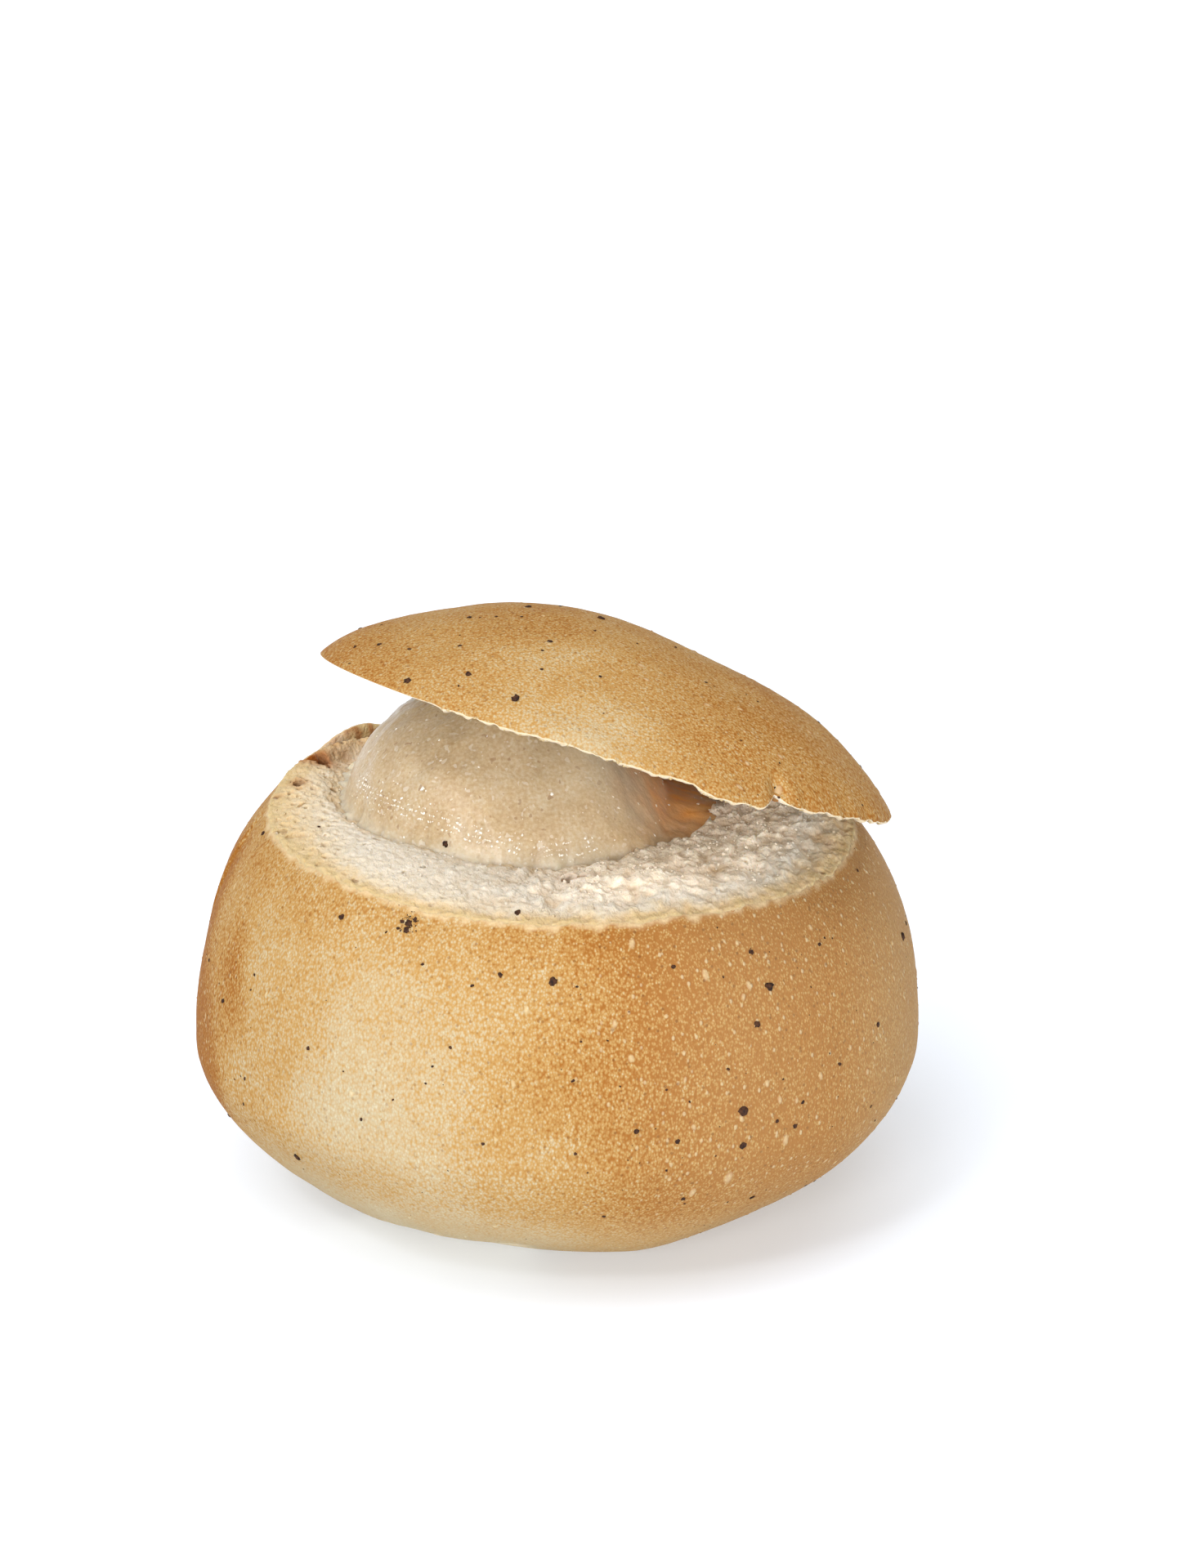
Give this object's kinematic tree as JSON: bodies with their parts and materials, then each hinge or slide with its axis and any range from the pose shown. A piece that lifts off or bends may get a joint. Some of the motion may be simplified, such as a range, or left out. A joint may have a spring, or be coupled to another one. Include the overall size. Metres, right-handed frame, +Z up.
{
  "type": "semla bun",
  "caption": "Semla without cream: a hollowed cardamom bun heaped with almond paste, its cut-off domed top leaning on the filling as a lid.",
  "frame": {"origin": "middle of the bun's flat base, on the table", "axes": "+Z up, -Y to the front, where the lid is raised and the filling shows"},
  "size_m": [0.0886, 0.0914, 0.0778],
  "materials": {
    "crust": "golden-brown baked bread crust, matt with fine pale pimples",
    "crumb": "torn cream-white bread crumb, porous and matt",
    "almond_paste": "moist beige almond paste with small wet glints",
    "cardamom": "crushed dark brown cardamom seed"
  },
  "bodies": {
    "root": {"bun": "crust", "filling": "almond_paste", "lid": "crust"}
  },
  "joints": []
}
